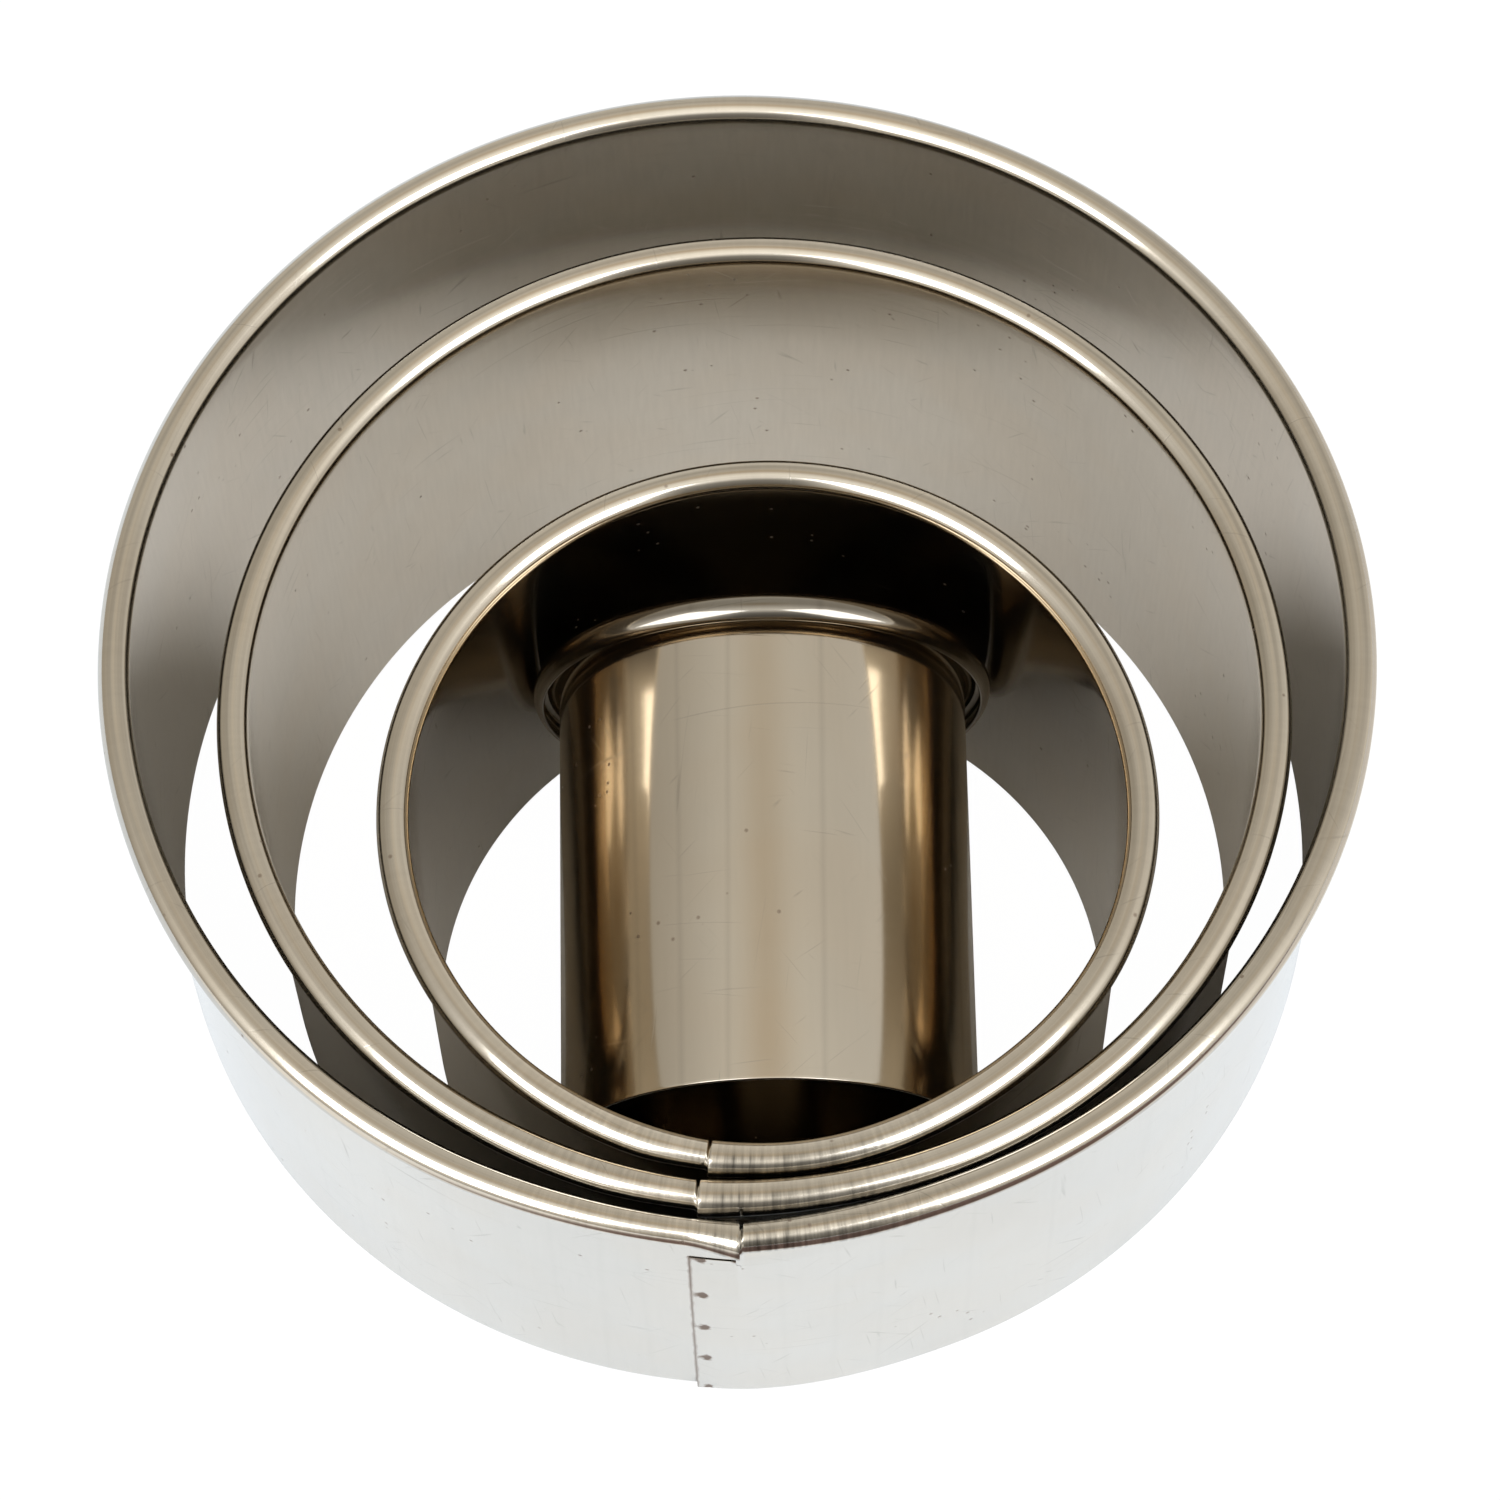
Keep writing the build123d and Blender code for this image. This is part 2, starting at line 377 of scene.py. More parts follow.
def strip_surface(sizes, shapes, ring, inside):
    """The strip as vertices, faces and strip places, with the mouth of its seam on +X.

    The middle surface at an angle a along the strip and a distance w across it is, on the wall, the circle
    of the ring's radius at height w, and on the bead, the arc of the curl's radius about the curl's centre,
    which turns from 180 degrees down by the curl angle. The ring's radius grows by one layer over the joggle,
    by the flare, which falls off as the square of one less the share of its reach, and shrinks by the dent, a
    raised cosine. The curl's radius grows towards the mouth and shrinks where it is tucked in. Both faces lie
    half a thickness off the middle surface, less near the edges, where it follows a quarter circle.
    """
    thickness, rounding = sizes.strip_thickness, sizes.edge_round
    bead_radius = sizes.bead_diameter / 2
    curl_start = sizes.height - bead_radius
    middle = inside + thickness / 2
    layer = thickness + sizes.layer_gap
    along, across, notch, tongue = strip_lines(sizes, inside)
    a, w = np.meshgrid(along, across, indexing="ij")
    from_mouth = np.where(a > pi, a - 2 * pi, a)
    received = a < pi
    s = a * middle

    # The outer layer steps out over the joggle below the tongue's top, and mostly at the mouth in the bead
    high = eased((w - tongue) / (curl_start - SHOULDER_TOP - tongue))
    stepped = eased(1 + from_mouth / sizes.joggle_angle)
    dipped = eased(1 + (from_mouth * middle + DIP_MARGIN) / shapes.dive)
    bead_step = EARLY_SHARE * stepped + (1 - EARLY_SHARE) * dipped
    shift = layer * np.where(received, 0, stepped * (1 - high) + high * bead_step)

    # The tongue is pressed thinner towards its top edge, flat against the layer inside it
    pressed = PRESSED_SHARE * eased(1 + (w - tongue) / PRESSED_LENGTH) * (a > 2 * pi) * (w <= tongue)
    shift = shift - thickness / 2 * pressed

    # The curl swells at the mouth, narrows to a neck behind it, and is pinched where it is tucked in
    swell, pinch, neck = shapes.mouth_swell[ring], shapes.pinch[ring], shapes.neck[ring]
    opening = np.clip(1 - s / shapes.swell_reach[ring], 0, 1) ** 2
    behind = eased(s / sizes.lap_length) * (1 - eased((s - sizes.lap_length) / NECK_LENGTH))
    pinched = eased(1 + from_mouth / (PINCH_SHARE * sizes.joggle_angle))
    tucked = pinch * pinched + (layer - swell - pinch) * dipped
    curl = bead_radius + np.where(received, swell * opening - neck * behind, -tucked)

    # The lapped ends stand proud of the circle towards the mouth, most of all at the bead
    flare = shapes.flare[ring] * np.clip(1 - np.abs(from_mouth) / shapes.flare_reach[ring], 0, 1) ** 2
    off_dent = np.abs(from_mouth - shapes.dent_angle) / shapes.dent_reach
    dent = shapes.dent[ring] * (1 + np.cos(pi * np.clip(off_dent, 0, 1))) / 2
    bend = (flare - dent) * (FOOT_SHARE + (1 - FOOT_SHARE) * eased(w / curl_start))

    turn = pi - sizes.curl_angle * np.clip((w - curl_start) / roll_length(sizes), 0, 1)
    radius = inside + shift + bend + curl + (curl - thickness / 2) * np.cos(turn)
    height = np.minimum(w, curl_start) + (curl - thickness / 2) * np.sin(turn)

    # Distance to the nearest edge of the strip, which is cut away above the tongue
    before_notch = notch * middle - s
    to_tip = along[-1] * middle - s
    to_notch = np.hypot(np.clip(before_notch, 0, None), np.clip(tongue - w, 0, None))
    to_top = np.where(before_notch < 0, tongue - w, across[-1] - w)
    border = np.clip(np.minimum.reduce([w, s, to_tip, to_notch, to_top]), 0, None)
    near = np.minimum(border, rounding)
    half = thickness / 2 - rounding + np.sqrt(rounding**2 - (rounding - near) ** 2)

    # Shallow dimples of the spot welds, pressed into both layers
    off = (from_mouth * middle - sizes.lap_length + sizes.weld_inset)[..., None]
    rows = w[..., None] - weld_rows(sizes)
    press = np.clip(1 - (off**2 + rows**2) / (sizes.weld_width / 2) ** 2, 0, 1).max(-1)
    half = (half - thickness * DIMPLE_SHARE * press**2 * (w < tongue)) * (1 - pressed)

    sides = []
    for side in (1, -1):
        r = radius + side * half * np.cos(turn)
        z = height + side * half * np.sin(turn)
        sides.append(np.stack([r * np.cos(a), r * np.sin(a), z], -1))
    vertices = np.stack(sides).reshape(-1, 3)
    place = np.stack([np.stack([s, w, np.full_like(s, side)], -1) for side in (0.0, 1.0)]).reshape(-1, 3)

    kept = (along[:-1, None] < notch - NEARLY) | (across[None, :-1] < tongue - NEARLY)
    faces = strip_faces(kept)
    used, numbered = np.unique(faces, return_inverse=True)
    return vertices[used], numbered.reshape(faces.shape), place[used]


def strip_faces(kept):
    """Quads of both faces of the strip and of the rims that join them, from the mask of kept grid cells.

    The inner face's corners are numbered along the grid, the outer face's follow after. A rim quad stands on
    each grid edge that has a kept cell on one side only, which is where the padded mask changes.
    """
    n, m = kept.shape[0] + 1, kept.shape[1] + 1
    number = np.arange(n * m).reshape(n, m)
    i, j = np.nonzero(kept)
    corners = np.stack([number[i, j], number[i + 1, j], number[i + 1, j + 1], number[i, j + 1]], -1)
    padded = np.pad(kept, 1).astype(int)
    edges = []
    for change, first, second in (
        (padded[1:, 1:-1] - padded[:-1, 1:-1], number[:, :-1], number[:, 1:]),
        (padded[1:-1, 1:] - padded[1:-1, :-1], number[1:], number[:-1]),
    ):
        ends = np.where((change < 0)[..., None], np.stack([second, first], -1), np.stack([first, second], -1))
        edges.append(ends[change != 0])
    start, end = np.concatenate(edges).T
    rims = np.stack([end, start, start + n * m, end + n * m], -1)
    return np.concatenate([corners[:, ::-1], corners + n * m, rims])


CREASE = radians(50)  # faces that turn more than this meet in a sharp edge


def added(name, data):
    """A new object in the scene."""
    made = bpy.data.objects.new(name, data)
    bpy.context.scene.collection.objects.link(made)
    return made


def make_cutter(name, surface, place, material, mirrored):
    """Puts one strip's surface into a mesh at its place and lets it stand for its solid."""
    vertices, faces, strip_place = surface
    if mirrored:
        vertices = vertices * (1, -1, 1)
        faces = faces[:, ::-1]
    vertices = vertices @ np.array(place.to_3x3()).T + np.array(place.translation)
    mesh = bpy.data.meshes.new(name)
    mesh.from_pydata(vertices, [], faces)
    at_vertex = mesh.attributes.new("strip_place", "FLOAT_VECTOR", "POINT").data
    at_vertex.foreach_set("vector", strip_place.ravel())
    mesh.shade_smooth()
    mesh.set_sharp_from_angle(angle=CREASE)
    mesh.materials.append(material)
    mesh.validate()
    cutter = added(name + "_strip", mesh)
    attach(cutter, name)
    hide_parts(name)


def put(tree, kind, settings=None, **links):
    """Adds a node; each link is a value or an output for the input of that name, with _ for a space."""
    made = tree.nodes.new("ShaderNode" + kind)
    for key, value in (settings or {}).items():
        setattr(made, key, value)
    for key, value in links.items():
        numbered = key[0] == "i" and key[1:].isdigit()
        into = made.inputs[int(key[1:]) if numbered else key.replace("_", " ")]
        if isinstance(value, bpy.types.NodeSocket):
            tree.links.new(value, into)
        else:
            into.default_value = value
    return made


def maths(tree, operation, first, second=0.0, third=0.0):
    """The result of one math node."""
    return put(tree, "Math", {"operation": operation}, i0=first, i1=second, i2=third).outputs[0]


def product(tree, first, *factors):
    """All the factors multiplied."""
    for factor in factors:
        first = maths(tree, "MULTIPLY", first, factor)
    return first


def layered(tree, value, strengths, **masks):
    """A value with each mask added to it, times the strength of the same name."""
    for name, mask in masks.items():
        value = maths(tree, "MULTIPLY_ADD", mask, strengths[name], value)
    return value


def about_zero(tree, value):
    """A noise less its middle, which is a half."""
    return maths(tree, "SUBTRACT", value, 0.5)


def held(tree, value):
    """A value held between 0 and 1."""
    return put(tree, "Clamp", Value=value).outputs[0]


def near_line(tree, off, reach):
    """1 on a line and 0 from a reach away: one less the distance over the reach."""
    away = maths(tree, "DIVIDE", maths(tree, "ABSOLUTE", off), reach)
    return held(tree, maths(tree, "SUBTRACT", 1.0, away))


def ramp(tree, value, start, end, first=0.0, last=1.0, kind="LINEAR"):
    """A change from a first number to a last one between two places, held beyond them."""
    return put(tree, "MapRange", {"interpolation_type": kind}, Value=value, From_Min=start,
               From_Max=end, To_Min=first, To_Max=last).outputs[0]


def fade(tree, value, start, end):
    """A smooth change from 0 at one value to 1 at another."""
    return ramp(tree, value, start, end, kind="SMOOTHSTEP")


def mixed(tree, share, first, second):
    """A number between two others."""
    return put(tree, "Mix", {"data_type": "FLOAT"}, Factor=share, i2=first, i3=second).outputs[0]


def blended(tree, share, first, second, way="MIX"):
    """A colour between two others, or blended another way. A plain colour has three numbers."""
    first, second = (c if isinstance(c, bpy.types.NodeSocket) else (*c, 1.0) for c in (first, second))
    return put(tree, "Mix", {"data_type": "RGBA", "blend_type": way}, Factor=share, i6=first,
               i7=second).outputs[2]


def noise(tree, place, scale, detail):
    """A noise over a place, from 0 to 1."""
    return put(tree, "TexNoise", Vector=place, Scale=scale, Detail=detail).outputs["Fac"]


def stretched(tree, place, scale):
    """A place with its three numbers scaled."""
    return put(tree, "Mapping", Vector=place, Scale=scale).outputs[0]


def split(tree, place):
    """The three numbers of a place."""
    return put(tree, "SeparateXYZ", Vector=place).outputs


def vectors(tree, operation, first, second=(0.0, 0.0, 0.0)):
    """The outputs of one vector math node."""
    return put(tree, "VectorMath", {"operation": operation}, i0=first, i1=second).outputs


def scaled(tree, vector, scale):
    """A vector or a colour times a number."""
    return put(tree, "VectorMath", {"operation": "SCALE"}, i0=vector, Scale=scale).outputs[0]


def emptied(owner, kind="Material"):
    """The node tree of a material or a world with nothing but its output, and that output's surface input."""
    owner.use_nodes = True
    tree = owner.node_tree
    tree.nodes.clear()
    return tree, tree.nodes.new("ShaderNodeOutput" + kind).inputs["Surface"]


def new_group(name, output, place, **values):
    """An empty shader node group that takes in a place and named values, and puts out one value.

    With it come its inputs, and a function that links a result to its output.
    """
    tree = bpy.data.node_groups.new(name, "ShaderNodeTree")
    tree.interface.new_socket(name=place, in_out="INPUT", socket_type="NodeSocketVector")
    for title, value in values.items():
        socket = tree.interface.new_socket(name=title, in_out="INPUT", socket_type="NodeSocketFloat")
        socket.default_value = value
    tree.interface.new_socket(name=output, in_out="OUTPUT", socket_type="NodeSocketFloat")
    result = tree.nodes.new("NodeGroupOutput").inputs[output]

    def put_out(value):
        tree.links.new(value, result)
        return tree

    return tree, tree.nodes.new("NodeGroupInput").outputs, put_out


# Each set of scratches: its turn from the strip's run, its scratches' length in metres, and its own shift
SCRATCH_SETS = (
    (0.05, 0.05, 0.0), (-0.12, 0.03, 0.31), (1.45, 0.03, 0.57), (0.75, 0.02, 0.83), (-0.9, 0.025, 1.2),
)


def scratches_group():
    """Straight hairline scratches in a few directions.

    Each is a thin band where a noise, stretched some twentyfold along the scratch, crosses its middle. A
    second noise breaks the bands into short lengths.
    """
    tree, given, put_out = new_group("hairline_scratches", "Mask", "Place", Width=0.012, Cover=0.62,
                                     Amount=1.0)
    spacing, depth, sharpness = 0.0016, 0.01, 12.0
    total = None
    for turn, length, shift in SCRATCH_SETS:
        mapped = put(tree, "Mapping", {"vector_type": "TEXTURE"}, Vector=given["Place"],
                     Location=(shift, shift, shift), Rotation=(0, 0, turn), Scale=(length, spacing, depth))
        mapped = mapped.outputs[0]
        thin = near_line(tree, about_zero(tree, noise(tree, mapped, scale=1.0, detail=0.0)), given["Width"])
        broken = maths(tree, "SUBTRACT", noise(tree, mapped, scale=4.0, detail=1.0), given["Cover"])
        one = product(tree, thin, held(tree, product(tree, broken, sharpness)))
        total = one if total is None else maths(tree, "MAXIMUM", total, one)
    return put_out(product(tree, total, given["Amount"]))


def specks_group():
    """Small dark specks: the cores of scattered cells, kept where a slow noise is high."""
    tree, given, put_out = new_group("specks", "Mask", "Place", Scale=600.0, Size=0.12, Cover=0.6)
    softness = 0.06
    cells = put(tree, "TexVoronoi", Vector=given["Place"], Scale=given["Scale"])
    core = maths(tree, "SUBTRACT", given["Size"], cells.outputs["Distance"])
    slow = noise(tree, given["Place"], scale=160.0, detail=2.0)
    keep = maths(tree, "GREATER_THAN", slow, given["Cover"])
    return put_out(product(tree, ramp(tree, core, 0.0, softness), keep))


def streaks_group(name, scale):
    """Fine marks in one direction: a noise that changes faster along one of the strip's directions."""
    tree, given, put_out = new_group(name, "Value", "Strip Place")
    return put_out(noise(tree, stretched(tree, given["Strip Place"], scale), scale=1.0, detail=3.0))


def kinks_group():
    """Faint lines straight across the strip where it was bent: where a stretched noise is near its middle."""
    tree, given, put_out = new_group("roll_kinks", "Mask", "Strip Place")
    spacing, width = (170.0, 2.5, 5.0), 0.025
    bends = noise(tree, stretched(tree, given["Strip Place"], spacing), scale=1.0, detail=0.0)
    return put_out(near_line(tree, about_zero(tree, bends), width))


def weld_group():
    """Burnt marks of the row of spot welds: nearness of the place to one of them, drawn out sideways."""
    tree, given, put_out = new_group("weld_marks", "Mark", "Strip Place", Round=0.2, Row=0.002, Lowest=0.0006,
                                     Pitch=0.0057, Top=0.024, Radius=0.00045)
    tail_length, tail_squash, upright_squash, least_edge, softness = 0.0006, 0.45, 0.5, 0.25, 0.4
    along, up, _ = split(tree, given["Strip Place"])
    sideways = maths(tree, "SUBTRACT", maths(tree, "MODULO", along, given["Round"]), given["Row"])
    tail = ramp(tree, sideways, 0.0, tail_length, 1.0, tail_squash)
    steps = maths(tree, "DIVIDE", maths(tree, "SUBTRACT", up, given["Lowest"]), given["Pitch"])
    upward = product(tree, maths(tree, "SUBTRACT", steps, maths(tree, "ROUND", steps)), given["Pitch"])
    both = put(tree, "CombineXYZ", X=product(tree, sideways, tail),
               Y=product(tree, upward, upright_squash))
    distance = vectors(tree, "LENGTH", both.outputs[0])["Value"]
    ragged = maths(tree, "ADD", least_edge, noise(tree, given["Strip Place"], scale=2200.0, detail=2.0))
    mark = near_line(tree, distance, product(tree, given["Radius"], ragged))
    below = maths(tree, "LESS_THAN", up, given["Top"])
    return put_out(product(tree, ramp(tree, mark, 0.0, softness), below))


def lap_dirt_and_shade_group():
    """Dirt and painted shade on the outer face, along the lap's gap: nearness to the tongue's end and its
    top, and a spot at the notch's corner.
    """
    tree, given, put_out = new_group("lap_dirt_and_painted_shade", "Mark", "Strip Place", Round=0.2, Lap=0.0031, Tuck=0.0003,
                                     Top=0.024)
    widest, narrowest, past_end = 0.00032, 0.00002, 0.0001
    brim_fade, spot_fade = (-0.0013, -0.0002), (0.00035, 0.00015)
    along, up, outer_face = split(tree, given["Strip Place"])
    lapped = maths(tree, "MODULO", along, given["Round"])
    from_end = maths(tree, "SUBTRACT", lapped, given["Lap"])
    from_top = maths(tree, "SUBTRACT", up, given["Top"])
    rough = noise(tree, given["Strip Place"], scale=900.0, detail=3.0)
    reach = maths(tree, "MULTIPLY_ADD", rough, widest, narrowest)
    below = maths(tree, "LESS_THAN", up, given["Top"])
    line = product(tree, near_line(tree, from_end, reach), below)
    before = maths(tree, "LESS_THAN", from_end, past_end)
    brim = product(tree, near_line(tree, from_top, reach), ramp(tree, from_end, *brim_fade), before)
    corner = put(tree, "CombineXYZ", X=maths(tree, "SUBTRACT", lapped, given["Tuck"]), Y=from_top)
    spot = ramp(tree, vectors(tree, "LENGTH", corner.outputs[0])["Value"], *spot_fade)
    both = maths(tree, "MAXIMUM", maths(tree, "MAXIMUM", line, brim), spot)
    return put_out(product(tree, both, outer_face))


def build_groups():
    """The shared effects, each built once. The rolling bands run along the strip and the ripple across it."""
    return {
        "scratches": scratches_group(),
        "specks": specks_group(),
        "bands": streaks_group("rolling_bands", (12.0, 2400.0, 5.0)),
        "ripple": streaks_group("ripple", (3000.0, 260.0, 5.0)),
        "kinks": kinks_group(),
        "welds": weld_group(),
        "dirt_and_shade": lap_dirt_and_shade_group(),
    }


# What each mark adds to the steel's tone, its roughness and its relief
TONES = {
    "scratch": -0.2, "kinks": -0.09, "ripple": 0.6, "dull": -0.3, "dull_ripple": 1.2, "combed": 0.8,
    "bead": -0.06,
}
ROUGHNESSES = {"bands": 0.05, "scratch": 0.12, "bead": 0.035, "spoilt": 0.35}
RELIEFS = {"bands": 0.06, "scratch": -0.4, "ripple": 1.2, "slow": 0.5}
# The lap's dirt_and_shade mark is dirt with painted shade in the lap's gap
STAIN_AND_SHADE_SHARES = {"weld": 0.9, "speck": 0.55, "dirt_and_shade": 0.9}  # how far each turns the steel to the stain's colour
BRUSHED = (0.12, 0.04)  # strength of the streaks across the inner face and across the outer one
CLOUD, CLOUD_TONE, CLOUD_ROUGHNESS = (0.3, 0.7), (0.95, 1.03), (0.075, 0.12)
HUE_CHANGE = (0.35, 0.65)  # the noise's values at the steel's one colour and at the other
BEAD_MARGIN = 0.0002  # from the start of the roll to where the bead's marks start
MOUTH_REACH, FAR_SHARE = (0.003, 0.017), 0.12  # metres to each side over which its marks thin out to a share
# Where the bead's dullness starts and where it is full, in shares of the roll and in metres along x
DULL_ROLL, DULL_SIDE = (0.3, 0.45), (-0.0045, -0.0005)


def steel_material(name, groups, look, sizes, inside, bore_shade, warm_reflection, kinked):
    """Bright rolled steel with wiping marks, hairline scratches, specks, weld marks, and dirt with painted
    shade in the lap.

    Rolling bands comb the bead, a ripple crosses it beside the mouth and streaks the rest faintly, bend lines
    cross the wall, and the bead's outer side is dull right of the mouth. Bore shade is how bright the inner
    face is painted beside the outer one, a painted shade for the hollow; warm reflection is how far the steel
    turns to the painted warm reflection colour where other steel mirrors it, a painted reflection; and kinked
    is how clearly the bend lines show.
    """
    material = bpy.data.materials.new(name)
    tree, surface = emptied(material)
    shader = put(tree, "BsdfPrincipled", Metallic=1.0)
    tree.links.new(shader.outputs[0], surface)
    at = put(tree, "TexCoord").outputs["Object"]
    strip = put(tree, "Attribute", {"attribute_name": "strip_place"}).outputs["Vector"]

    def group(key, **links):
        return put(tree, "Group", {"node_tree": groups[key]}, **links).outputs[0]

    middle = inside + sizes.strip_thickness / 2
    rows = weld_rows(sizes)
    lap = {"Strip_Place": strip, "Round": 2 * pi * middle, "Top": sizes.height - sizes.tongue_drop}
    bands, cross_marks, kinks = (group(key, Strip_Place=strip) for key in ("bands", "ripple", "kinks"))
    scratch = group("scratches", Place=strip, Width=0.012, Cover=0.6, Amount=0.8)
    marks = {
        "weld": group("welds", Row=sizes.lap_length - sizes.weld_inset, Lowest=rows[0],
                      Pitch=rows[1] - rows[0], Radius=sizes.weld_width / 2, **lap),
        "speck": group("specks", Place=at, Scale=800.0, Size=0.13, Cover=0.6),
        # Dirt with painted shade along the lap's gap
        "dirt_and_shade": group("dirt_and_shade", Lap=sizes.lap_length, Tuck=sizes.tuck_length, **lap),
    }
    cloud = noise(tree, at, scale=60.0, detail=4.0)

    # Where the bead's own marks are
    along, up, outer_face = split(tree, strip)
    curl_start, roll = sizes.height - sizes.bead_diameter / 2, roll_length(sizes)
    on_bead = maths(tree, "GREATER_THAN", up, curl_start + BEAD_MARGIN)
    by_mouth = ramp(tree, maths(tree, "PINGPONG", along, pi * middle), *MOUTH_REACH, 1.0, FAR_SHARE)
    ripple = product(tree, about_zero(tree, cross_marks), on_bead, by_mouth)
    over = fade(tree, up, *(curl_start + roll * share for share in DULL_ROLL))
    dull = product(tree, over, by_mouth, fade(tree, split(tree, at)[0], *DULL_SIDE))
    brushed = product(tree, about_zero(tree, cross_marks), maths(tree, "SUBTRACT", 1.0, on_bead))

    tone = layered(
        tree, ramp(tree, cloud, *CLOUD, *CLOUD_TONE), TONES, scratch=scratch,
        kinks=product(tree, kinks, kinked), ripple=ripple, dull=dull, dull_ripple=product(tree, dull, ripple),
        combed=product(tree, about_zero(tree, bands), on_bead), bead=on_bead,
    )
    tone = maths(tree, "MULTIPLY_ADD", brushed, mixed(tree, outer_face, *BRUSHED), tone)
    # Painted shade: the inner face is painted darker by the bore shade
    tone = product(tree, tone, mixed(tree, outer_face, bore_shade, 1.0))
    change = fade(tree, noise(tree, at, scale=130.0, detail=2.0), *HUE_CHANGE)
    hue = blended(tree, change, look.steel_colour, look.cool_colour)
    # Painted reflection: seen in other steel, the inner cutters turn warmer and darker
    painted_warm_reflection = product(tree, put(tree, "LightPath").outputs["Is Glossy Ray"], warm_reflection)
    clean = scaled(tree, blended(tree, painted_warm_reflection, hue, look.warm_reflection_colour, "MULTIPLY"), tone)
    spoilt = 0.0
    for key, mark in marks.items():
        spoilt = maths(tree, "MAXIMUM", spoilt, product(tree, mark, STAIN_AND_SHADE_SHARES[key]))
    tree.links.new(blended(tree, spoilt, clean, look.stain_and_shade_colour), shader.inputs["Base Color"])

    rough = layered(tree, ramp(tree, cloud, *CLOUD, *CLOUD_ROUGHNESS), ROUGHNESSES, bands=bands,
                    scratch=scratch, bead=product(tree, on_bead, by_mouth), spoilt=spoilt)
    tree.links.new(rough, shader.inputs["Roughness"])

    slow = noise(tree, at, scale=110.0, detail=1.0)
    relief = layered(tree, 0.0, RELIEFS, scratch=scratch, bands=bands, ripple=ripple, slow=slow)
    bump = put(tree, "Bump", Height=relief, Strength=0.25, Distance=0.00002)
    tree.links.new(bump.outputs[0], shader.inputs["Normal"])
    return material


STANDING_KINKS = 0.2  # how clearly bend lines show on the standing rings


class CUTTERS_OT_rings(bpy.types.Operator):
    """Make the three standing cutters and the lying one from their strips"""

    bl_idname = "cutters.rings"
    bl_label = "Cutters"

    def execute(self, context):
        scene = context.scene
        sizes, look = scene.cutter_sizes, scene.steel_look
        inside, at = nest_rings(sizes, scene.nest_places)
        groups = build_groups()
        for number, ring in enumerate((*STANDING, "mini")):
            # Painted shade inside the lying ring; painted warm reflection on the small and lying rings
            bore_shade, kinked = (look.bore_shade, 1.0) if ring == "mini" else (1.0, STANDING_KINKS)
            warm_reflection = 1.0 if ring in ("small", "mini") else 0.0
            steel = steel_material(f"{ring}_steel", groups, look, sizes, inside[ring], bore_shade, warm_reflection,
                                   kinked)
            surface = strip_surface(sizes, scene.seam_shapes, number, inside[ring])
            make_cutter(f"{ring}_cutter", surface, at[ring], steel, mirrored=ring == "large")
        return {"FINISHED"}


# The camera as fitted to the photograph: place, downward look, roll, lens and near end
CAMERA_PLACE = Vector((0.000649, -0.142294, 0.316902))
CAMERA_DOWN, CAMERA_ROLL = radians(64.779), radians(-1.607)
LENS, CLIP_START = 123.33, 0.01


def camera_matrix():
    """The camera's place and its turn, worked out from its downward look and its roll."""
    level, rise = Vector((1, 0, 0)), Vector((0, sin(CAMERA_DOWN), cos(CAMERA_DOWN)))
    right = cos(CAMERA_ROLL) * level + sin(CAMERA_ROLL) * rise
    up = cos(CAMERA_ROLL) * rise - sin(CAMERA_ROLL) * level
    ahead = Vector((0, cos(CAMERA_DOWN), -sin(CAMERA_DOWN)))
    turned = Matrix((right, up, -ahead)).transposed().to_4x4()
    turned.translation = CAMERA_PLACE
    return turned


def way_to(azimuth, elevation):
    """The direction at an angle round from +X and an angle up from the floor."""
    return Vector((cos(elevation) * cos(azimuth), cos(elevation) * sin(azimuth), sin(elevation)))


BOX_DISTANCE, BOX_HEIGHT, BOX_COLOUR = 0.65, 0.45, (1.0, 0.99, 0.97)


def softbox(name, azimuth, elevation, width, power):
    """A large rectangular light that faces the middle of the nest."""
    data = bpy.data.lights.new(name, "AREA")
    data.shape = "RECTANGLE"
    data.size, data.size_y = width, BOX_HEIGHT
    data.energy = power
    data.color = BOX_COLOUR
    light = added(name, data)
    away = way_to(azimuth, elevation)
    light.location = away * BOX_DISTANCE
    light.rotation_euler = away.to_track_quat("Z", "Y").to_euler()


def flat_stage(name, low, high, level, material):
    """A flat rectangle of the stage."""
    (left, front), (right, back) = low, high
    corners = [(left, front, level), (right, front, level), (right, back, level), (left, back, level)]
    mesh = bpy.data.meshes.new(name)
    mesh.from_pydata(corners, [], [(0, 1, 2, 3)])
    mesh.materials.append(material)
    made = added(name, mesh)
    return made


# Where the floor's mirrored glow starts and is full: aside, outside the small ring, and how far back
GLOW_ASIDE, GLOW_OFF_SMALL = (0.006, 0.02), (0.0015, 0.005)
GLOW_BEHIND_MEDIUM, GLOW_BEHIND_SMALL = (0.012, 0.022), (0.003, 0.016)
NEST_GLOW = (1.0, 0.95, 0.88)  # its colour inside the large ring
SEEN_GLOW, GLOW_STRENGTH = 0.95, 1.04  # the camera's share of it, and its strength
BLACK, WHITE = (0.0, 0.0, 0.0), (1.0, 1.0, 1.0)


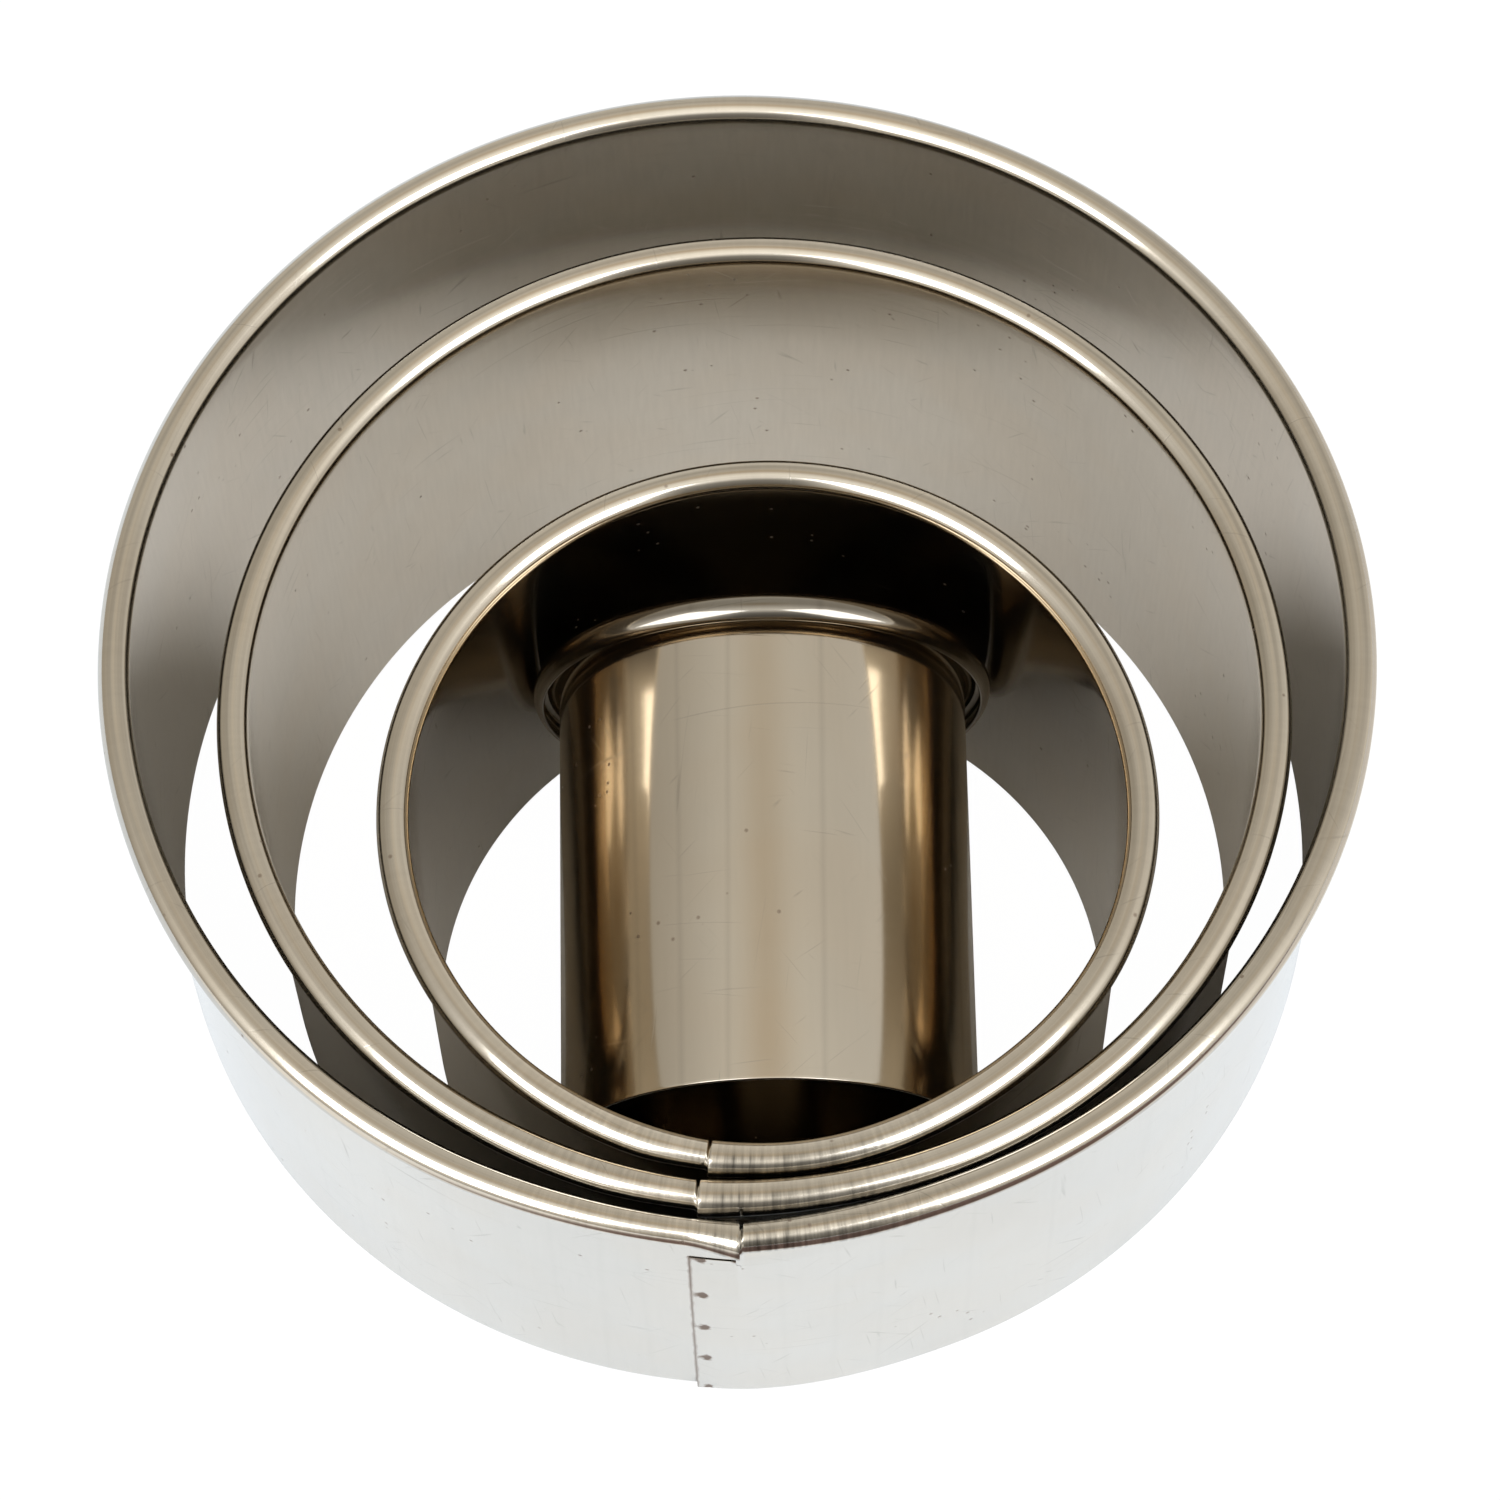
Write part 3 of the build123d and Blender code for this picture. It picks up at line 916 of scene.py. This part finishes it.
def floor_material(look, inside, at):
    """Matt white board. The camera sees it as plain white, as in an overexposed photograph.

    In the steel it is mirrored between what the lights make of it and an even glow, which is strongest
    outside the nest, weaker behind the inner rings, and none in front or inside the small ring.
    """
    material = bpy.data.materials.new("floor_board")
    tree, surface = emptied(material)
    here = put(tree, "TexCoord").outputs["Object"]
    rays = put(tree, "LightPath").outputs
    seen, glossy = rays["Is Camera Ray"], rays["Is Glossy Ray"]
    x, y, _ = split(tree, here)
    off = {ring: vectors(tree, "DISTANCE", here, at[ring].translation)["Value"] for ring in STANDING}
    large, medium, small = (maths(tree, "LESS_THAN", off[ring], inside[ring]) for ring in STANDING)

    outside, behind_medium, behind_small, inner_shade = look.floor_glow
    aside = fade(tree, maths(tree, "ABSOLUTE", x), *GLOW_ASIDE)
    between = product(tree, aside, fade(tree, y, *GLOW_BEHIND_MEDIUM), behind_medium)
    off_small = fade(tree, off["small"], *(inside["small"] + reach for reach in GLOW_OFF_SMALL))
    deeper = product(tree, fade(tree, y, *GLOW_BEHIND_SMALL), off_small, behind_small)
    evened = mixed(tree, medium, mixed(tree, large, outside, between), deeper)
    evened = mixed(tree, small, evened, 0.0)

    shade = product(tree, small, glossy, inner_shade)
    board = put(tree, "BsdfDiffuse", Color=blended(tree, shade, look.floor_colour, BLACK))
    tint = blended(tree, seen, blended(tree, large, look.glow_colour, NEST_GLOW), WHITE)
    glow = put(tree, "Emission", Color=tint, Strength=GLOW_STRENGTH)
    share = maths(tree, "MULTIPLY_ADD", seen, SEEN_GLOW, product(tree, glossy, evened))
    both = put(tree, "MixShader", Fac=share, i1=board.outputs[0], i2=glow.outputs[0])
    tree.links.new(both.outputs[0], surface)
    return material


# The dark cards' corners and level, where their colour starts and is full, and the right one's share of it
CARDS = {"dark_front": ((-0.5, -0.7), (0.6, -0.052)), "dark_right": ((0.052, -0.052), (0.6, 0.5))}
CARD_LEVEL = 0.0008
FRONT_FROM_LEFT, FRONT_FROM_NEST = (-0.085, -0.015), (-0.052, -0.064)
RIGHT_FROM_NEST, RIGHT_SHARE = (0.052, 0.075), 0.28


def card_material(look):
    """The dark things in front and to the right: deep in front, fading to plain board on the left."""
    material = bpy.data.materials.new("dark_cards")
    tree, surface = emptied(material)
    x, y, _ = split(tree, put(tree, "TexCoord").outputs["Object"])
    front = product(tree, fade(tree, x, *FRONT_FROM_LEFT), fade(tree, y, *FRONT_FROM_NEST))
    right = product(tree, fade(tree, x, *RIGHT_FROM_NEST), RIGHT_SHARE)
    colour = blended(tree, maths(tree, "MAXIMUM", front, right), look.floor_colour, look.dusk_colour)
    tree.links.new(put(tree, "BsdfDiffuse", Color=colour).outputs[0], surface)
    return material


# The room's soft glows: azimuth and elevation in degrees, power and colour. The last one takes light away.
ROOM_GLOWS = (
    (0, 90, 6, (0.37, 0.352, 0.31)),
    (92, 8, 3, (0.37, 0.36, 0.33)),
    (15, 4, 4, (0.30, 0.29, 0.27)),
    (90, 80, 40, (-0.2, -0.24, -0.26)),
)
BOX_GLOW_POWER, BOX_GLOW = 6, (1.12, 1.08, 1.0)  # round each softbox
# The dark front: along which part of the way it fades in, from where to where, and how dark it is
DARK_FADES, DARK_SHARE = ((0, -0.36, -0.1), (0, 0.5, 0.25), (1, -0.2, -0.5), (2, 0.9, 0.55)), 0.68


def room_world(look):
    """The room: a warm grey with soft glows, dark straight in front, and plain white to the camera.

    A glow is the cosine of the angle to its middle raised to a power.
    """
    world = bpy.data.worlds.new("room")
    tree, surface = emptied(world, "World")
    way = put(tree, "TexCoord").outputs["Generated"]
    glows = [(radians(azimuth), radians(elevation), *rest) for azimuth, elevation, *rest in ROOM_GLOWS]
    glows += [(azimuth, look.box_rise, BOX_GLOW_POWER, BOX_GLOW) for azimuth in look.box_angles]
    room = tuple(look.room_colour)
    for azimuth, elevation, power, colour in glows:
        near = vectors(tree, "DOT_PRODUCT", way, way_to(azimuth, elevation))["Value"]
        share = maths(tree, "POWER", maths(tree, "MAXIMUM", near, 0.0), power)
        room = vectors(tree, "ADD", room, scaled(tree, colour, share))[0]

    parts = split(tree, way)
    fades = (fade(tree, parts[part], start, end) for part, start, end in DARK_FADES)
    dark = product(tree, *fades, DARK_SHARE)
    room = scaled(tree, room, maths(tree, "SUBTRACT", 1.0, dark))
    shown = blended(tree, put(tree, "LightPath").outputs["Is Camera Ray"], room, WHITE)
    backdrop = put(tree, "Background", Color=shown)
    tree.links.new(backdrop.outputs[0], surface)
    return world


FLOOR_HALF = 3  # metres from its middle to its edges
BOUNCES, GLOSSY_BOUNCES = 12, 9


class CUTTERS_OT_stage(bpy.types.Operator):
    """Make the floor, the lights, the room and the camera"""

    bl_idname = "cutters.stage"
    bl_label = "Stage"

    def execute(self, context):
        scene, look = context.scene, context.scene.stage_look
        board = floor_material(look, *nest_rings(scene.cutter_sizes, scene.nest_places))
        flat_stage("floor", (-FLOOR_HALF, -FLOOR_HALF), (FLOOR_HALF, FLOOR_HALF), 0.0, board)
        dark = card_material(look)
        for name, (low, high) in CARDS.items():
            card = flat_stage(name, low, high, CARD_LEVEL, dark)
            card.visible_camera = False
            card.visible_diffuse = False
            card.visible_shadow = False
        for name, azimuth, width in zip(("softbox_right", "softbox_left"), look.box_angles, look.box_widths):
            softbox(name, azimuth, look.box_rise, width, look.key_power * width / look.box_widths[0])
        scene.world = room_world(look)
        camera = added("camera", bpy.data.cameras.new("camera"))
        camera.data.lens = LENS
        camera.data.clip_start = CLIP_START
        camera.matrix_world = camera_matrix()
        scene.camera = camera
        scene.view_settings.view_transform = "Standard"
        scene.cycles.max_bounces = BOUNCES
        scene.cycles.glossy_bounces = GLOSSY_BOUNCES
        return {"FINISHED"}


class CUTTERS_PT_sidebar(bpy.types.Panel):
    """Lists what the add-on makes"""

    bl_label = "Biscuit cutters"
    bl_idname = "CUTTERS_PT_sidebar"
    bl_space_type = "VIEW_3D"
    bl_region_type = "UI"
    bl_category = "Cutters"

    def draw(self, context):
        for operator in OPERATORS:
            self.layout.operator(operator.bl_idname)
        for group in SETTINGS:
            owner = getattr(context.scene, group)
            for key in owner.bl_rna.properties.keys():
                if key not in ("rna_type", "name"):
                    self.layout.prop(owner, key)


SETTINGS = {
    "cutter_sizes": CutterSizes,
    "nest_places": NestPlaces,
    "seam_shapes": SeamShapes,
    "steel_look": SteelLook,
    "stage_look": StageLook,
}
OPERATORS = (CUTTERS_OT_rings, CUTTERS_OT_stage)
CLASSES = (*SETTINGS.values(), *OPERATORS, CUTTERS_PT_sidebar)


def register():
    for cls in CLASSES:
        bpy.utils.register_class(cls)
    for name, group in SETTINGS.items():
        setattr(bpy.types.Scene, name, bpy.props.PointerProperty(type=group))


def unregister():
    for name in SETTINGS:
        delattr(bpy.types.Scene, name)
    for cls in reversed(CLASSES):
        bpy.utils.unregister_class(cls)


def main():
    register()
    bpy.ops.cutters.rings()
    bpy.ops.cutters.stage()


if __name__ == "__main__":
    main()
